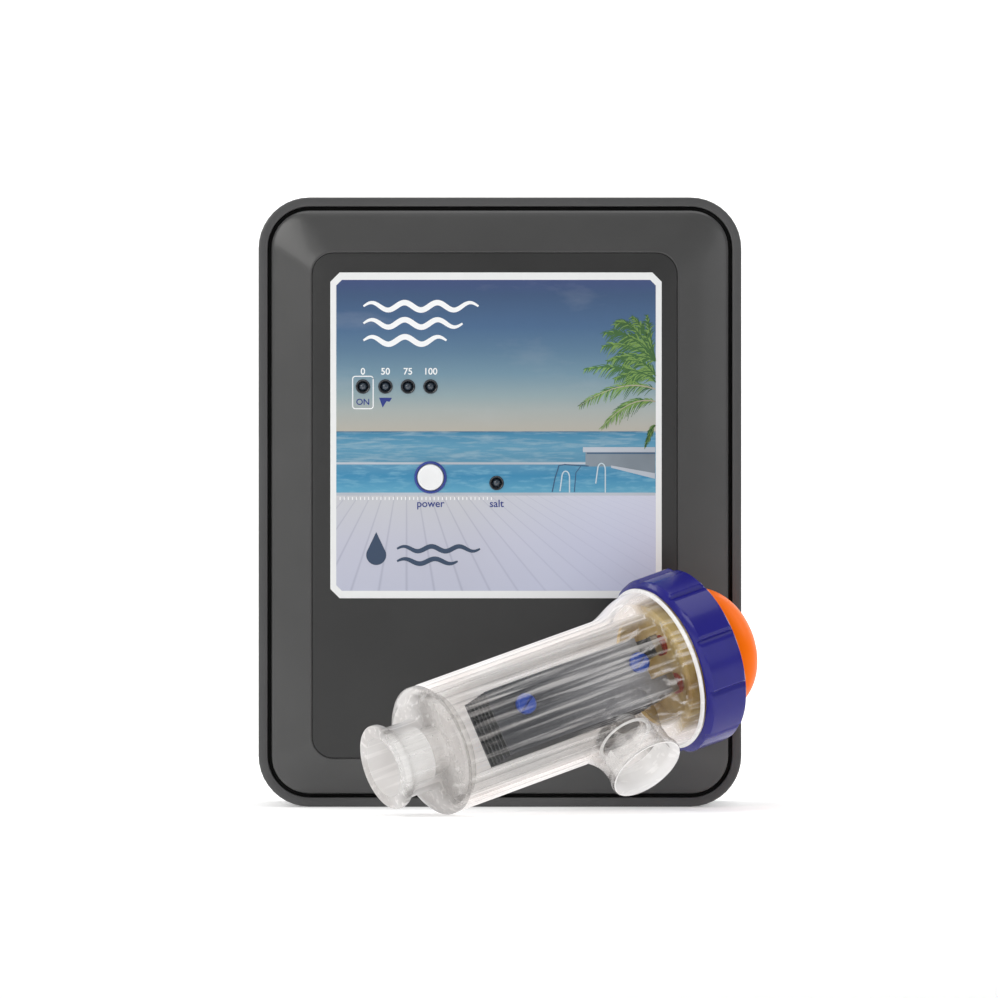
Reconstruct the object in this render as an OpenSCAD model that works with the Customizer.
// Salt chlorine generator for a pool: a wall control unit, and the clear
// electrolysis cell that it drives, leaning on the unit's front.
// Millimetres, +Z up, the front faces -Y, origin at the centre of the control unit's base.

/* [Control unit] */
// Width of the control unit
box_w = 260; // [256:1:264]
// Height of the control unit
box_h = 328; // [324:1:332]
// Depth from the fascia to the rear face
box_d = 120; // [116:1:130]
// Outer corner radius
corner_r = 27.5; // [26:0.5:30]
// Width of the casing's rim around the cover
rim_w = 5; // [4.5:0.1:5.5]
// Width of the groove between rim and cover
groove_w = 2.1; // [1.9:0.1:2.4]
// Rise of the sloping bezel
bezel_rise = 7.5; // [6.5:0.5:8.5]

/* [Fascia and label] */
// Width of the fascia insert
fascia_w = 196; // [194:1:198]
// Height of the fascia insert
fascia_h = 271.3; // [269:0.1:273]
// Width of the printed overlay
label_w = 178; // [176:1:180]
// Height of the printed overlay
label_h = 175; // [173:1:177]
// Pitch of the four level lights
led_pitch = 12.1; // [11.5:0.1:12.5]
// Travel of the selector button
button_travel = 0.8; // [0.5:0.1:0.8]

/* [Cell] */
// Outer radius of the fluted body over its ribs
body_r = 35; // [34.5:0.1:35.5]
// Inner radius of the cell chamber
chamber_r = 31; // [30.5:0.1:31]
// Number of ribs round the body
rib_count = 36; // [30:1:40]
// Radius of the union nut over its grip teeth
nut_r = 48.3; // [47.8:0.1:48.8]
// Length of the union nut
nut_len = 24; // [23.5:0.1:24.5]
// Grip teeth on the union nut
nut_teeth = 10; // [8:1:12]
// Radius of the pipe sockets
socket_r = 16.1; // [16:0.05:16.2]
// Depth of the pipe sockets
socket_depth = 22; // [21:0.5:23]
// Height of the orange cap above its rim
dome_h = 25; // [23:0.5:26]

/* [Electrode pack] */
// Width of one electrode plate
plate_w = 36; // [34:0.5:38]
// Distance from the nut's front lip to the plates' free end
plate_reach = 109.5; // [106:0.5:112]
// Pitch of the plate stack
plate_pitch = 4.2; // [4:0.1:4.3]

/* [Lean] */
// Tilt of the cell's axis away from vertical
cell_tilt = 73.1; // [72:0.1:74]
// Turn of the cell's axis towards the unit
cell_yaw = 29.8; // [29:0.1:31]
// Side offset of the nut's front lip
cell_x = 84.5; // [80:0.5:86]

/* [Hidden] */
$fn = 64;
eps = 0.05;

// Depth stations of the control unit, front to rear
front_y = -box_d / 2;
back_y = box_d / 2;
rim_y = front_y + bezel_rise + 1.5;
bezel_y = front_y + bezel_rise;
fascia_t = 2;
cover_t = 3;
label_t = 0.4;
label_y = front_y - label_t;
pocket_y = front_y + fascia_t;
cover_in_y = pocket_y + cover_t;
seat_y = rim_y + 7.5;
ledge_y0 = seat_y + 1.5;
ledge_y1 = ledge_y0 + 3;

// Walls of the casing and cover
wall_t = 3;
back_t = 3.5;
back_in_y = back_y - back_t;
ledge_w = 13;
cover_inset = rim_w + groove_w;
skirt_t = 3;
fascia_gap = 0.25;
fascia_r = 11.5;
fascia_x = -2.8;
fascia_z = box_h / 2 - 1.9;

// Overlay and its controls, as offsets from the unit's centre line and base
label_x = -2.1;
label_z = fascia_z + 37.7;
label_chamfer = 5;
led_x = [for (i = [0:3]) label_x - 71.5 + i * led_pitch];
led_z = label_z + 26.2;
salt_x = label_x + 0.3;
salt_z = label_z - 25.6;
button_x = led_x[3];
button_z = label_z - 22.6;
led_r = 2.5;
led_hole_r = 3.3;
led_rim_r = 3.9;
button_r = 7;
ring_in_r = 7.35;
ring_r = 8.7;
ring_rise = 0.7;
button_flange_r = 9.2;
ring_hole_r = 8.3;

// Cover screws and their pillars
cover_pts = [for (i = [-1, 1], k = [-1, 1]) [fascia_x + i * 84, fascia_z + k * 118]];
post_r = 5;
boss_r = 6;
boss_h = 3;
screw_bore_r = 1.7;
screw_r = 1.6;
screw_head_r = 3.4;
screw_head_h = 1.8;

// Back wall: its screws and bosses, and the wall fixing holes
panel_pts = [for (i = [-1, 1], k = [0, 1]) [i * (box_w / 2 - 13), 13 + k * (box_h - 26)]];
panel_boss_len = 16;
panel_screw_len = 12;
panel_sink = 2;
board_post_r = 4;
core_post_r = 4.5;
wall_hole_r = 2.75;
wall_hole_pts = [for (i = [-1, 1], k = [0, 1]) [i * 105, 60 + k * 230]];

// Recess in the underside for the cable glands and the mains switch
recess_x = 95;
recess_y = -10;
recess_z = 32;
recess_t = 3;
roof_z = recess_z + recess_t;
gland_y = 25;
mains_x = -60;
cell_gland_x = 60;

// Cable glands
gland_thread_r = 7.9;
gland_hole_r = 8.1;
gland_hex_r = 11;
gland_bore_r = 4.6;
gland_seat_r = 6.2;
gland_seal_r = 6;
gland_tube_r = 7.6;
gland_nut_bore_r = 7.7;
locknut_r = 12;
cable_r = 4;

// Mains rocker switch, lying in the roof of the recess
switch_l = 27;
switch_w = 21;
rocker_l = 24;
rocker_w = 17;
rocker_z = roof_z + 2;
rocker_rest = -8;

// Display board behind the fascia
display_y0 = cover_in_y + 6;
display_t = 1.6;
display_x = -35;
display_z = 200;
display_w = 100;
display_h = 76;
display_post_r = 3.5;
display_screw_r = 1.2;
display_pts = [for (i = [-1, 1], k = [-1, 1]) [display_x + i * 45, display_z + k * 33]];

// Ribbon cable between the two boards
ribbon_w = 16;
ribbon_sag = 18;

// Main board on the rear wall
board_t = 1.6;
board_y1 = back_in_y - 8;
board_y0 = board_y1 - board_t;
board_w = 150;
board_h = 130;
board_z = 217;
board_pts = [for (i = [-1, 1], k = [-1, 1]) [i * 68, board_z + k * 58]];

// Parts on the main board: [x, z] is a low left corner or a centre on the board's front
sink_at = [30, 235];
sink_size = [60, 44];
sink_base_t = 4;
fin_reach = 26;
fin_t = 2;
fin_count = 7;
block_at = [-62, 156];
block_ways = 6;
block_pitch = 8;
block_size = [50, 14];
block_reach = 14;
wire_hole_r = 2;
fuse_at = [28, 160];
fuse_base = [26, 8];
fuse_r = 2.5;
fuse_len = 24;
clip_t = 4;
relay_at = [-50, 190];
relay_size = [19, 15];
relay_reach = 16;
capacitor_at = [-57, 250];
capacitor_pitch = 21;
capacitor_r = 9;
capacitor_reach = 30;

// Transformer below the main board
core_w = 78;
core_h = 64;
core_y0 = 14;
core_y1 = 44;
core_x = -35;
core_z = 92;
core_window = [13, 38];
leg_x = 13;
core_pts = [for (i = [-1, 1], k = [-1, 1]) [core_x + i * 34, core_z + k * 27]];

// Cell stations along its axis: 0 at the nut's front lip, + towards the head
end_rim_z = -146;
end_face_z = -152;
end_face_r = 27;
split_z = -142;
spigot_t = 3.4;
spigot_len = 5;
stub_z = -175;
stub_r = 19.4;
stub_rim_r = 22.9;
passage_r = 12.5;
port_z = -44.4;
port_turn = -43.4;
port_reach = 56.8;
port_rim_r = 20.8;
port_passage_r = 13.5;
flare_z0 = -30;
flare_z1 = -4;
collar_r = 42.6;
mouth_z = 14;
mouth_r = 37;
mouth_depth_z = -6;
bead_r = 44.5;
bead_w = 2.4;
bead_gap = 0.5;
rib_r = 2;

// Electrode head and its cap
head_gap = 0.4;
flange_z0 = mouth_z + head_gap;
flange_z1 = flange_z0 + 5;
flange_r = 42.2;
spigot_r = 36.5;
spigot_z = -4;
cup_r = 31;
cup_z = 7;
neck_r = 32;
neck_in_r = 28;
neck_z = flange_z1 + 9;
nut_lip_z = flange_z1 + head_gap;
nut_lip_r = 37.2;
nut_bore_r = collar_r + 0.5;
nut_step = 2.1;
cap_r = 35;
cap_z = nut_len + 0.6;
cap_t = 2.4;
o_ring_r = 39.6;
o_ring_section = 1.5;
grommet_r = 5;
cell_cable_r = 3;

// Electrode pack: the stack runs along its local X, the plates' width along Y
pack_turn = -107.4;
plate_t = 1;
plate_half = 3;
plate_z1 = -14;
tab_w = 10;
tab_y = 11;
tab_z = -5;
bus_z = -1;
stud_r = 3;
stud_hole_r = 3.2;
stud_z = 34;
pack_screw_y = -4.5;
pack_screw_z = [-17.6, -90];
pack_screw_r = 2.4;
pack_hole_r = 2.7;
spacer_r = 4.2;
pack_head_r = 5.5;
pack_head_h = 3.2;
stack_half = plate_half * plate_pitch + plate_t / 2;

// Place of the cell: its end rim stands on the floor, its nut leans on the fascia
lean_gap = 0.5;
axis_y = sin(cell_tilt) * sin(cell_yaw);
cell_y = front_y - lean_gap - nut_len * axis_y - nut_r * sqrt(1 - axis_y * axis_y);
cell_z = (body_r + 0.1) * sin(cell_tilt) - end_rim_z * cos(cell_tilt);

// ---------- shared shapes ----------

// Extrudes a front view (x, z) from depth y0 to depth y1
module slab(y0, y1) {
    translate([0, y1, 0]) rotate([90, 0, 0]) linear_extrude(y1 - y0) children();
}

// Round bar along Y at (x, z)
module rod_y(p, y0, y1, r) {
    translate([p.x, y1, p.y]) rotate([90, 0, 0]) cylinder(h = y1 - y0, r = r);
}

// Upright round bar or ring between two heights
module rod_z(z0, z1, r) {
    translate([0, 0, z0]) cylinder(h = z1 - z0, r = r);
}

module block(lo, hi) {
    translate(lo) cube(hi - lo);
}

module rounded_rect(w, h, r) {
    square([w - 2 * r, h], center = true);
    square([w, h - 2 * r], center = true);
    for (x = [-1, 1], z = [-1, 1]) translate([x * (w / 2 - r), z * (h / 2 - r)]) circle(r);
}

// Outline of the control unit, moved inwards
module outline(inset) {
    translate([0, box_h / 2]) rounded_rect(box_w - 2 * inset, box_h - 2 * inset, corner_r - inset);
}

// Outline of the fascia insert, grown outwards
module fascia_outline(grow) {
    translate([fascia_x, fascia_z])
        rounded_rect(fascia_w + 2 * grow, fascia_h + 2 * grow, fascia_r + grow);
}

// Holes for the lights, shared by fascia and overlay
module led_places() {
    for (x = led_x) translate([x, led_z]) children();
    translate([salt_x, salt_z]) children();
}

// Pan-head screw along Y with its head towards -Y, the head's underside at y
module screw_y(p, y, length, r, head_r, head_h) {
    rod_y(p, y, y + length, r);
    difference() {
        rod_y(p, y - head_h, y, head_r);
        for (a = [0, 90]) translate([p.x, y - head_h, p.y]) rotate([0, a, 0])
            cube([head_r * 1.2, head_h, head_r * 0.3], center = true);
    }
}

// ---------- control unit: casing ----------

// Walls of the control unit, with the rim round the cover and the ledge that its gasket sits on
module rear_casing() {
    color("#48484a") difference() {
        union() {
            slab(rim_y, back_in_y) difference() {
                outline(0);
                outline(wall_t);
            }
            slab(rim_y, ledge_y1) difference() {
                outline(1);
                outline(rim_w);
            }
            slab(ledge_y0, ledge_y1) difference() {
                outline(1);
                outline(ledge_w);
            }
            for (p = panel_pts) rod_y(p, back_in_y - panel_boss_len, back_in_y, post_r);
        }
        block([-recess_x - recess_t, recess_y - recess_t, -1],
              [recess_x + recess_t, back_y, wall_t + 1]);
        for (p = panel_pts) rod_y(p, back_in_y - panel_screw_len, back_in_y + 1, screw_bore_r);
    }
}

// Back wall, screwed to the walls from behind
module rear_panel() {
    color("#454547") difference() {
        slab(back_in_y, back_y) outline(0);
        block([-recess_x, back_in_y - 1, -1], [recess_x, back_y + 1, recess_z]);
        for (p = wall_hole_pts) rod_y(p, back_in_y - 1, back_y + 1, wall_hole_r);
        for (p = panel_pts) {
            rod_y(p, back_in_y - 1, back_y + 1, screw_bore_r);
            rod_y(p, back_y - panel_sink, back_y + 1, screw_head_r + 0.4);
        }
    }
}

module panel_screws() {
    color("#9a9c9e") for (p = panel_pts) mirror([0, 1, 0])
        screw_y(p, panel_sink - back_y, panel_screw_len, screw_r, screw_head_r, screw_head_h);
}

// Threaded pillars on the back wall, for the cover, the main board and the transformer
module panel_pillars() {
    color("#a7a9ab") difference() {
        union() {
            for (p = cover_pts) rod_y(p, cover_in_y + boss_h, back_in_y, post_r);
            for (p = board_pts) rod_y(p, board_y1, back_in_y, board_post_r);
            for (p = core_pts) rod_y(p, core_y1, back_in_y, core_post_r);
        }
        for (p = cover_pts) rod_y(p, cover_in_y, cover_in_y + 30, screw_bore_r);
        for (p = board_pts) rod_y(p, board_y1 - 1, board_y1 + 6, screw_bore_r);
        for (p = core_pts) rod_y(p, core_y1 - 1, core_y1 + 9, screw_bore_r);
    }
}

// Recess in the underside, with the holes for the glands and the switch in its roof
module gland_box() {
    color("#454547") difference() {
        block([-recess_x - recess_t, recess_y - recess_t, 0], [recess_x + recess_t, back_in_y, roof_z]);
        block([-recess_x, recess_y, -1], [recess_x, back_in_y + 1, recess_z]);
        for (x = [mains_x, cell_gland_x]) translate([x, gland_y, 0])
            rod_z(recess_z - 1, roof_z + 1, gland_hole_r);
        block([-switch_l / 2, gland_y - switch_w / 2, recess_z - 1],
              [switch_l / 2, gland_y + switch_w / 2, roof_z + 1]);
    }
}

// Solid wedge of the bezel between the groove's edge and the fascia pocket
module bezel_wedge(inset, grow, y_low, y_high) {
    hull() {
        slab(y_low, y_low + eps) outline(inset);
        slab(y_high, y_high + eps) fascia_outline(grow);
    }
}

module front_cover() {
    color("#4b4b4d") difference() {
        union() {
            difference() {
                union() {
                    bezel_wedge(cover_inset, fascia_gap + 0.5, bezel_y, front_y);
                    slab(bezel_y, seat_y) outline(cover_inset);
                }
                bezel_wedge(cover_inset + skirt_t, 0, bezel_y + cover_t, cover_in_y);
                slab(bezel_y + cover_t, seat_y + 1) outline(cover_inset + skirt_t);
                slab(front_y - 1, pocket_y) fascia_outline(fascia_gap);
            }
            for (p = cover_pts) rod_y(p, cover_in_y - 1, cover_in_y + boss_h, boss_r);
            for (p = display_pts) rod_y(p, cover_in_y - 1, display_y0, display_post_r);
        }
        for (p = cover_pts) {
            rod_y(p, pocket_y - 1, pocket_y + screw_head_h + 0.2, screw_head_r + 0.4);
            rod_y(p, pocket_y - 1, cover_in_y + boss_h + 1, 2.1);
        }
        for (p = display_pts) rod_y(p, cover_in_y + 0.6, display_y0 + 1, display_screw_r + 0.1);
        slab(front_y, cover_in_y + 1) {
            led_places() circle(led_hole_r + 1);
            translate([button_x, button_z]) circle(ring_hole_r);
        }
    }
}

module cover_gasket() {
    color("#0b0b0c") {
        slab(seat_y + eps, ledge_y0) difference() {
            outline(rim_w + 0.15);
            outline(ledge_w - 0.5);
        }
        slab(seat_y - 3.5, seat_y + 2 * eps) difference() {
            outline(rim_w + 0.15);
            outline(cover_inset - 0.15);
        }
    }
}

module cover_screws() {
    color("#9a9c9e") for (p = cover_pts)
        screw_y(p, pocket_y + screw_head_h + 0.2, 24, screw_r, screw_head_r, screw_head_h);
}

module fascia_panel() {
    color("#3a3a3b") slab(front_y, pocket_y) difference() {
        fascia_outline(0);
        led_places() circle(led_hole_r);
        translate([button_x, button_z]) circle(ring_hole_r);
    }
}

module overlay_label() {
    color("#8fa9c4") slab(label_y, front_y) difference() {
        translate([label_x, label_z]) difference() {
            square([label_w, label_h], center = true);
            for (x = [-1, 1], z = [-1, 1])
                translate([x * label_w / 2, z * label_h / 2]) rotate(45)
                    square(label_chamfer * sqrt(2), center = true);
        }
        led_places() circle(led_hole_r);
        translate([button_x, button_z]) circle(ring_hole_r);
    }
}

// ---------- control unit: lights and button ----------

module led_bezels() {
    color("#15171c") difference() {
        union() {
            slab(label_y - 0.5, label_y) led_places() circle(led_rim_r);
            slab(label_y - eps, pocket_y + 0.8) led_places() circle(led_hole_r - 0.1);
        }
        slab(label_y - 1, pocket_y + 1) led_places() circle(led_r + 0.1);
    }
}

// One 5 mm light: domed lens, flange and two leads down to the board
module led(x, z, tint) {
    lens_y = label_y - 0.2;
    color(tint) {
        rod_y([x, z], lens_y + led_r, lens_y + 8.6, led_r);
        intersection() {
            translate([x, lens_y + led_r, z]) sphere(led_r);
            rod_y([x, z], lens_y - 1, lens_y + led_r + eps, led_r + 1);
        }
        rod_y([x, z], lens_y + 7.6, lens_y + 8.6, led_r + 0.4);
        for (i = [-1, 1]) rod_y([x + i * 1.27, z], lens_y + 8.5, display_y0, 0.3);
    }
}

module button_ring() {
    color("#2a3f9c") difference() {
        union() {
            slab(label_y - ring_rise, label_y) translate([button_x, button_z]) circle(ring_r);
            slab(label_y - eps, pocket_y + 1) translate([button_x, button_z]) circle(ring_hole_r - 0.1);
        }
        slab(label_y - 2, pocket_y + 2) translate([button_x, button_z]) circle(ring_in_r);
    }
}

module button_cap() {
    cap_y = label_y - ring_rise - button_travel;
    color("#f4f4f2") {
        translate([button_x, 0, button_z]) rotate([90, 0, 0]) rotate_extrude() polygon([
            [0, -cap_y], [button_r - 0.8, -cap_y], [button_r, -cap_y - 0.8],
            [button_r, -cover_in_y - 0.4], [0, -cover_in_y - 0.4]]);
        rod_y([button_x, button_z], cover_in_y + 0.4, cover_in_y + 1.6, button_flange_r);
        rod_y([button_x, button_z], cover_in_y + 1.5, cover_in_y + 2.6, 2.2);
    }
}

module tact_switch() {
    knob_y = cover_in_y + 2.6 + button_travel + 0.35;
    color("#2b2b2b") {
        block([button_x - 3, knob_y + 0.7, button_z - 3], [button_x + 3, display_y0, button_z + 3]);
        rod_y([button_x, button_z], knob_y, knob_y + 0.8, 1.7);
    }
}

module display_board() {
    color("#2f6b45") difference() {
        slab(display_y0, display_y0 + display_t) translate([display_x, display_z])
            square([display_w, display_h], center = true);
        for (p = display_pts) rod_y(p, display_y0 - 1, display_y0 + display_t + 1, 1.6);
    }
}

module display_screws() {
    color("#9a9c9e") for (p = display_pts) mirror([0, 1, 0])
        screw_y(p, -display_y0 - display_t, 6, display_screw_r, 2.6, 1.5);
}

// Flat lead that hangs between the two boards
module ribbon_cable() {
    y0 = display_y0 + display_t;
    y1 = board_y0;
    half_t = 0.6;
    steps = 16;
    function hang(t) = display_z + 12 - ribbon_sag * (1 - pow(2 * t - 1, 2));
    color("#8d9094") translate([-ribbon_w / 2, 0, 0]) rotate([90, 0, 90]) linear_extrude(ribbon_w)
        polygon(concat(
            [for (i = [0:steps]) [y0 + (y1 - y0) * i / steps, hang(i / steps) + half_t]],
            [for (i = [steps:-1:0]) [y0 + (y1 - y0) * i / steps, hang(i / steps) - half_t]]));
}

// ---------- control unit: power supply ----------

module main_board() {
    color("#2f6b45") difference() {
        slab(board_y0, board_y1) translate([0, board_z]) square([board_w, board_h], center = true);
        for (p = board_pts) rod_y(p, board_y0 - 1, board_y1 + 1, 1.9);
    }
}

module board_screws() {
    color("#9a9c9e") for (p = board_pts) screw_y(p, board_y0, 7, screw_r, 3, 1.8);
}

module transformer_core() {
    color("#6c6f73") difference() {
        slab(core_y0, core_y1) translate([core_x, core_z]) difference() {
            square([core_w, core_h], center = true);
            for (i = [-1, 1]) translate([i * (leg_x + core_window.x / 2), 0])
                square(core_window, center = true);
        }
        for (p = core_pts) rod_y(p, core_y0 - 1, core_y1 + 1, 2.2);
    }
}

module transformer_windings() {
    half = leg_x + core_window.x - 0.3;
    color("#b8642c") translate([core_x, 0, core_z]) difference() {
        block([-half, core_y0 - 9, -core_window.y / 2 + 0.3],
              [half, core_y1 + 9, core_window.y / 2 - 0.3]);
        block([-leg_x - 0.1, core_y0 - 0.1, -core_window.y], [leg_x + 0.1, core_y1 + 0.1, core_window.y]);
    }
}

module transformer_screws() {
    color("#9a9c9e") for (p = core_pts) screw_y(p, core_y0, 38, screw_r, 3.4, 2);
}

module heat_sink() {
    half = sink_size / 2;
    fin_step = (sink_size.x - fin_t) / (fin_count - 1);
    color("#b9bcc0") translate([sink_at.x, board_y0, sink_at.y]) {
        block([-half.x, -sink_base_t, -half.y], [half.x, 0, half.y]);
        for (i = [0:fin_count - 1])
            block([-half.x + i * fin_step, -fin_reach, -half.y],
                  [-half.x + i * fin_step + fin_t, -sink_base_t + 0.5, half.y]);
    }
}

module terminal_block() {
    color("#3f8f4f") translate([block_at.x, board_y0, block_at.y]) difference() {
        block([0, -block_reach, 0], [block_size.x, 0, block_size.y]);
        for (i = [0:block_ways - 1]) translate([(i + 0.5) * block_pitch + 1, 0, 0]) {
            rod_y([0, block_size.y - 4], -block_reach - 1, -6, wire_hole_r);
            translate([0, -5, 0]) rod_z(-1, 7, wire_hole_r);
        }
    }
}

module fuse_holder() {
    clip_ends = [0, fuse_base.x - clip_t];
    color("#d8d5c8") translate([fuse_at.x, board_y0, fuse_at.y]) {
        block([0, -3, 0], [fuse_base.x, 0, fuse_base.y]);
        for (x = clip_ends) difference() {
            block([x, -9, 1], [x + clip_t, -3 + eps, fuse_base.y - 1]);
            translate([x - 1, -6, fuse_base.y / 2]) rotate([0, 90, 0])
                cylinder(h = clip_t + 2, r = fuse_r + 0.1);
        }
    }
}

module fuse() {
    color("#e4e6e6") translate([fuse_at.x + 1, board_y0 - 6, fuse_at.y + fuse_base.y / 2])
        rotate([0, 90, 0]) cylinder(h = fuse_len, r = fuse_r);
}

module relay() {
    color("#2a62a8") translate([relay_at.x, board_y0, relay_at.y])
        block([0, -relay_reach, 0], [relay_size.x, 0, relay_size.y]);
}

module capacitors() {
    color("#23262b") for (i = [0:2])
        rod_y([capacitor_at.x + i * capacitor_pitch, capacitor_at.y],
              board_y0 - capacitor_reach, board_y0, capacitor_r);
}

// ---------- control unit: glands and mains switch ----------

module gland_body(x) {
    color("#2c2c2e") translate([x, gland_y, 0]) difference() {
        union() {
            translate([0, 0, recess_z - 3.5]) cylinder(h = 3.5, r = gland_hex_r, $fn = 6);
            rod_z(recess_z - eps, roof_z + 7, gland_thread_r);
            rod_z(recess_z - 13, recess_z - 3.4, gland_tube_r);
        }
        rod_z(recess_z - 14, roof_z + 8, gland_bore_r);
        rod_z(recess_z - 14, recess_z - 7, gland_seat_r);
    }
}

module gland_nut(x) {
    color("#2c2c2e") translate([x, gland_y, 0]) difference() {
        union() {
            translate([0, 0, recess_z - 18]) cylinder(h = 13.5, r = gland_hex_r, $fn = 6);
            translate([0, 0, recess_z - 23]) cylinder(h = 5 + eps, r1 = gland_seal_r, r2 = 9);
        }
        rod_z(recess_z - 24, recess_z - 4, cable_r + 1);
        rod_z(recess_z - 18, recess_z - 4, gland_nut_bore_r);
    }
}

module gland_seal(x) {
    color("#1b1b1b") translate([x, gland_y, 0]) difference() {
        rod_z(recess_z - 17, recess_z - 7.5, gland_seal_r);
        rod_z(recess_z - 18, recess_z - 7, cable_r);
    }
}

module gland_locknuts() {
    color("#2c2c2e") for (x = [mains_x, cell_gland_x]) translate([x, gland_y, 0]) difference() {
        translate([0, 0, roof_z]) cylinder(h = 5, r = locknut_r, $fn = 6);
        rod_z(roof_z - 1, roof_z + 6, gland_hole_r);
    }
}

module switch_frame() {
    color("#1e1e20") translate([0, gland_y, 0]) difference() {
        union() {
            block([-switch_l / 2 - 2, -switch_w / 2 - 2, recess_z - 2],
                  [switch_l / 2 + 2, switch_w / 2 + 2, recess_z]);
            block([-switch_l / 2 + 0.1, -switch_w / 2 + 0.1, recess_z - eps],
                  [switch_l / 2 - 0.1, switch_w / 2 - 0.1, roof_z + 16]);
        }
        block([-rocker_l / 2 - 0.8, -rocker_w / 2 - 0.4, recess_z - 3],
              [rocker_l / 2 + 0.8, rocker_w / 2 + 0.4, roof_z + 9]);
        translate([0, -switch_w / 2, rocker_z]) rotate([-90, 0, 0]) cylinder(h = switch_w, r = 1.6);
    }
}

// Rocker with its trunnions, tilted to the off side
module switch_rocker() {
    color("#c22a22") translate([0, gland_y, rocker_z]) rotate([0, rocker_rest, 0]) {
        intersection() {
            translate([0, rocker_w / 2, 0]) rotate([90, 0, 0]) linear_extrude(rocker_w) polygon([
                [-12, 2.4], [12, 2.4], [12, -8.6], [0, -5.6], [-12, -8.6]]);
            rotate([90, 0, 0]) cylinder(h = rocker_w + 2, r = rocker_l / 2, center = true);
        }
        rotate([90, 0, 0]) cylinder(h = switch_w - 1, r = 1.54, center = true);
    }
}

// ---------- cell ----------

// Puts a shape of the cell's own frame where the cell leans
module in_cell() {
    translate([cell_x, cell_y, cell_z]) rotate([0, cell_tilt, cell_yaw]) children();
}

// The same for the electrode pack's frame
module in_pack() {
    in_cell() rotate([0, 0, pack_turn]) children();
}

// Cross-section of the ribbed body
module ribbed_circle() {
    circle(body_r - 0.9);
    for (i = [0:rib_count - 1]) rotate(i * 360 / rib_count) translate([body_r - rib_r, 0])
        circle(rib_r, $fn = 24);
}

// Outside of the flare and collar with its bead, and of the end cap with its stub
function flare(t) = (body_r - 0.4) + (collar_r - body_r + 0.4) * (1 - cos(180 * t)) / 2;
function collar_profile() = concat(
    [[0, flare_z0], [body_r - 1.2, flare_z0 - 0.5]],
    [for (i = [0:8]) [flare(i / 8), flare_z0 + (flare_z1 - flare_z0) * i / 8]],
    [[collar_r, -bead_w - bead_gap], [bead_r, -bead_w], [bead_r, -bead_gap - 0.4], [collar_r, -bead_gap],
     [collar_r, mouth_z], [0, mouth_z]]);
function cap_profile() = [
    [0, stub_z], [stub_rim_r - 0.8, stub_z], [stub_rim_r, stub_z + 0.8], [stub_rim_r, stub_z + 3],
    [stub_rim_r - 1.6, stub_z + 5.2], [stub_r, stub_z + 9], [stub_r, end_face_z],
    [end_face_r, end_face_z], [body_r - 2.6, end_rim_z - 2.6], [body_r, end_rim_z],
    [body_r, split_z - 1], [body_r - 1.2, split_z], [0, split_z]];

// Runs a shape of the side port's frame (+Z out of its mouth) to its place
module in_port() {
    translate([0, 0, port_z]) rotate([0, 0, port_turn]) rotate([0, 90, 0]) children();
}

module cell_housing() {
    color("#d9dcde") in_cell() difference() {
        union() {
            rotate_extrude($fn = 96) polygon(collar_profile());
            translate([0, 0, split_z]) linear_extrude(flare_z0 - split_z + 3) ribbed_circle();
            in_port() {
                rod_z(20, port_reach - 1, stub_r);
                translate([0, 0, 26]) cylinder(h = 18, r1 = 26, r2 = stub_r);
                translate([0, 0, port_reach - 7]) cylinder(h = 4, r1 = stub_r, r2 = port_rim_r);
                rod_z(port_reach - 3.05, port_reach, port_rim_r);
            }
        }
        rod_z(split_z - 1, mouth_z + 1, chamber_r);
        rod_z(mouth_depth_z, mouth_z + 1, mouth_r);
        in_port() {
            rod_z(10, port_reach + 1, port_passage_r);
            rod_z(port_reach - socket_depth, port_reach + 1, socket_r);
        }
    }
}

// End wall of the chamber, glued into the ribbed tube, with the end stub
module end_cap() {
    color("#dddcda") in_cell() difference() {
        union() {
            rotate_extrude($fn = 96) polygon(cap_profile());
            rod_z(split_z - 1, split_z + spigot_len, chamber_r - 0.1);
        }
        rod_z(split_z, split_z + spigot_len + 1, chamber_r - spigot_t);
        rod_z(stub_z - 1, split_z + 1, passage_r);
        rod_z(stub_z - 1, stub_z + socket_depth, socket_r);
    }
}

// Ratchet-shaped grip of the nut: each tooth rises and then steps back
function grip_profile() = [for (k = [0:nut_teeth - 1], j = [0:6])
    let(a = (k + j / 6.6) * 360 / nut_teeth, r = nut_r - nut_step * (1 - j / 6)) r * [cos(a), sin(a)]];

module union_nut() {
    color("#26319a") in_cell() difference() {
        intersection() {
            linear_extrude(nut_len) polygon(grip_profile());
            rotate_extrude($fn = 96) polygon([[0, 0], [nut_r - 3.6, 0], [nut_r + 0.2, 3.6],
                [nut_r + 0.2, nut_len - 1.8], [nut_r - 1.8, nut_len], [0, nut_len]]);
        }
        rod_z(-1, nut_lip_z, nut_bore_r);
        rod_z(0, nut_len + 1, nut_lip_r);
    }
}

module electrode_head() {
    color("#c9b98a") in_cell() difference() {
        union() {
            rod_z(flange_z0, flange_z1, flange_r);
            rod_z(spigot_z, flange_z0 + 1, spigot_r);
            rod_z(flange_z1 - 1, neck_z, neck_r);
        }
        rod_z(spigot_z - 1, cup_z, cup_r);
        rod_z(flange_z1, neck_z + 1, neck_in_r);
        rotate_extrude() translate([o_ring_r - o_ring_section, flange_z0 - 1])
            square([2 * o_ring_section, 1 + 2 * o_ring_section]);
        rotate([0, 0, pack_turn]) for (y = [-tab_y, tab_y]) translate([0, y, 0])
            rod_z(cup_z - 1, flange_z1 + 1, stud_hole_r);
    }
}

module head_o_ring() {
    color("#101010") in_cell() rotate_extrude() translate([o_ring_r, flange_z0 + o_ring_section])
        circle(o_ring_section, $fn = 24);
}

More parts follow.
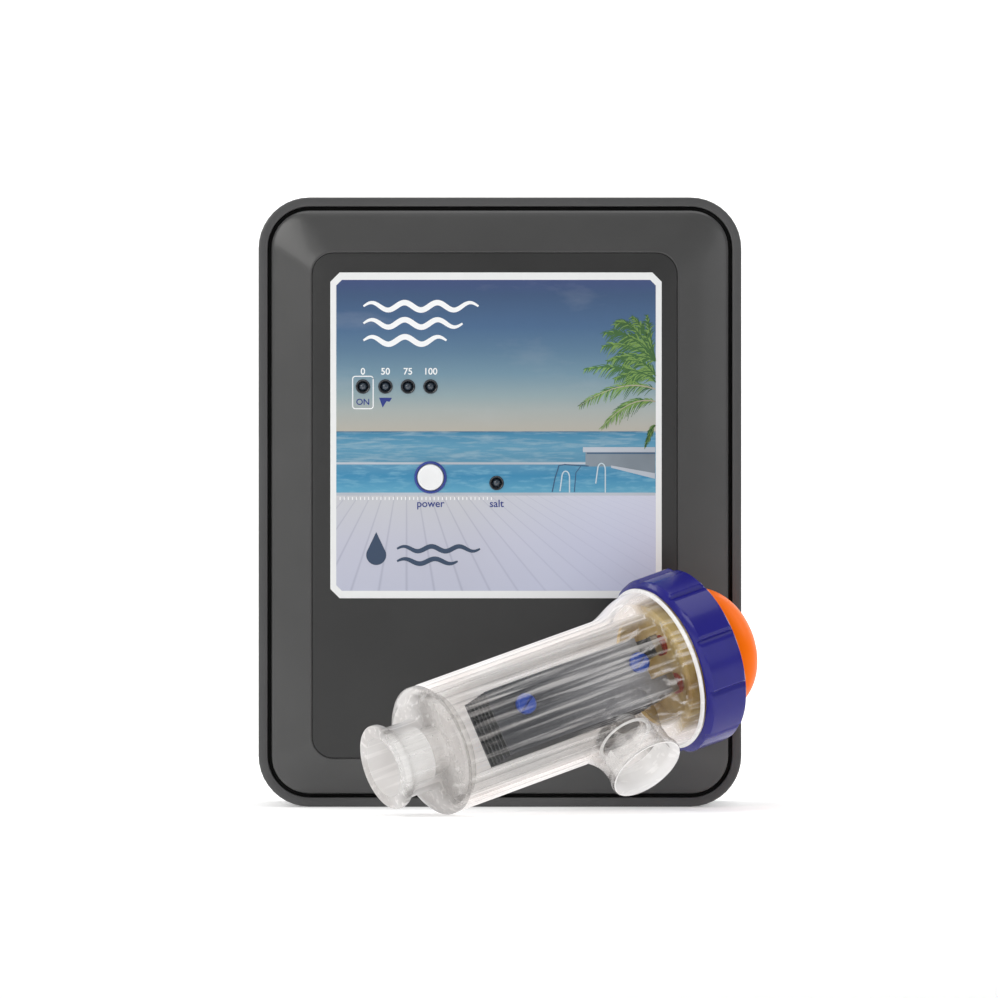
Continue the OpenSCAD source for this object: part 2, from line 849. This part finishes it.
// One plate with its tab on the given side, at a place in the stack
module plate(index, side) {
    x = index * plate_pitch;
    translate([x - plate_t / 2, 0, 0]) difference() {
        union() {
            block([0, -plate_w / 2, -plate_reach], [plate_t, plate_w / 2, plate_z1]);
            block([0, side * tab_y - tab_w / 2, plate_z1 - 1],
                  [plate_t, side * tab_y + tab_w / 2, tab_z]);
        }
        for (z = pack_screw_z) translate([-1, pack_screw_y, z]) rotate([0, 90, 0])
            cylinder(h = plate_t + 2, r = pack_hole_r);
    }
}

module anode_plates() {
    color("#5b5c60") in_pack() for (i = [-plate_half + 1:2:plate_half - 1]) plate(i, -1);
}

module cathode_plates() {
    color("#77797c") in_pack() for (i = [-plate_half:2:plate_half]) plate(i, 1);
}

// Bus bar across the tabs of one polarity, with its threaded stud through the head
module terminal(side) {
    in_pack() {
        block([-stack_half, side * tab_y - tab_w / 2, tab_z], [stack_half, side * tab_y + tab_w / 2, bus_z]);
        translate([0, side * tab_y, 0]) rod_z(bus_z - 1, stud_z, stud_r);
    }
}

module anode_terminal() {
    color("#8d8f92") terminal(-1);
}

module cathode_terminal() {
    color("#8d8f92") terminal(1);
}

module terminal_seals() {
    color("#b5452c") in_pack() for (y = [-tab_y, tab_y]) translate([0, y, 0]) difference() {
        rod_z(cup_z - 2.5, cup_z, 5.5);
        rod_z(cup_z - 3, cup_z + 1, stud_r + 0.05);
    }
}

module terminal_nuts() {
    color("#a7a9ab") in_pack() for (y = [-tab_y, tab_y]) translate([0, y, 0]) difference() {
        translate([0, 0, flange_z1]) cylinder(h = 5, r = 5.7, $fn = 6);
        rod_z(flange_z1 - 1, flange_z1 + 6, stud_r + 0.05);
    }
}

module plate_spacers() {
    color("#e8e6df") in_pack() for (i = [-plate_half:plate_half - 1], z = pack_screw_z)
        translate([i * plate_pitch + plate_t / 2, pack_screw_y, z]) rotate([0, 90, 0]) difference() {
            cylinder(h = plate_pitch - plate_t, r = spacer_r);
            translate([0, 0, -1]) cylinder(h = plate_pitch + 2, r = pack_hole_r);
        }
}

module plate_screws() {
    color("#2f62c8") in_pack() for (z = pack_screw_z) translate([0, pack_screw_y, z]) {
        translate([-stack_half - 5, 0, 0]) rotate([0, 90, 0])
            cylinder(h = 2 * stack_half + 6, r = pack_screw_r);
        difference() {
            translate([stack_half, 0, 0]) rotate([0, 90, 0]) {
                cylinder(h = pack_head_h - 1, r = pack_head_r);
                translate([0, 0, pack_head_h - 1]) cylinder(h = 1, r1 = pack_head_r, r2 = pack_head_r - 1);
            }
            translate([stack_half + pack_head_h, 0, 0]) rotate([35, 0, 0])
                cube([2.4, 1.3, 2 * pack_head_r + 1], center = true);
        }
    }
}

module plate_nuts() {
    color("#2f62c8") in_pack() for (z = pack_screw_z) translate([-stack_half - 4, pack_screw_y, z])
        rotate([0, 90, 0]) difference() {
            cylinder(h = 4, r = 5.2, $fn = 6);
            translate([0, 0, -1]) cylinder(h = 6, r = pack_screw_r + 0.05);
        }
}

// Outside and inside of the domed cap, as quarter ellipses
function dome(r, h, z0) = [for (i = [0:10]) [r * pow(cos(90 * i / 10), 0.8), z0 + h * sin(90 * i / 10)]];

module terminal_cap() {
    skirt_z = cap_z + 3;
    color("#ff8a00") in_cell() difference() {
        rotate_extrude($fn = 96)
            polygon(concat([[0, cap_z], [cap_r, cap_z]], dome(cap_r, dome_h, skirt_z)));
        rod_z(cap_z - 1, neck_z + 0.2, neck_r + 0.1);
        rotate_extrude($fn = 96) polygon(concat([[0, neck_z]],
            dome(neck_r - 0.4, dome_h - cap_t - 1, neck_z)));
        rod_z(neck_z, skirt_z + dome_h + 1, grommet_r);
    }
}

module cable_grommet() {
    tip_z = cap_z + 3 + dome_h;
    color("#161616") in_cell() difference() {
        union() {
            rod_z(tip_z - 6, tip_z - 0.2, grommet_r - 0.1);
            rod_z(tip_z - 7.2, tip_z - 5, grommet_r + 1.8);
        }
        rod_z(tip_z - 8, tip_z + 1, cell_cable_r);
    }
}

rear_casing();
rear_panel();
panel_screws();
panel_pillars();
gland_box();
front_cover();
cover_gasket();
cover_screws();
fascia_panel();
overlay_label();
led_bezels();
led(led_x[0], led_z, "#3a4450");  // led_0
led(led_x[1], led_z, "#3a4450");  // led_50
led(led_x[2], led_z, "#3a4450");  // led_75
led(led_x[3], led_z, "#3a4450");  // led_100
led(salt_x, salt_z, "#3a4450");  // led_salt
button_ring();
button_cap();
tact_switch();
display_board();
display_screws();
ribbon_cable();
main_board();
board_screws();
transformer_core();
transformer_windings();
transformer_screws();
heat_sink();
terminal_block();
fuse_holder();
fuse();
relay();
capacitors();
gland_body(mains_x);  // mains_gland_body
gland_nut(mains_x);  // mains_gland_nut
gland_seal(mains_x);  // mains_gland_seal
gland_body(cell_gland_x);  // cell_gland_body
gland_nut(cell_gland_x);  // cell_gland_nut
gland_seal(cell_gland_x);  // cell_gland_seal
gland_locknuts();
switch_frame();
switch_rocker();
cell_housing();
end_cap();
union_nut();
electrode_head();
head_o_ring();
anode_plates();
cathode_plates();
anode_terminal();
cathode_terminal();
terminal_seals();
terminal_nuts();
plate_spacers();
plate_screws();
plate_nuts();
terminal_cap();
cable_grommet();
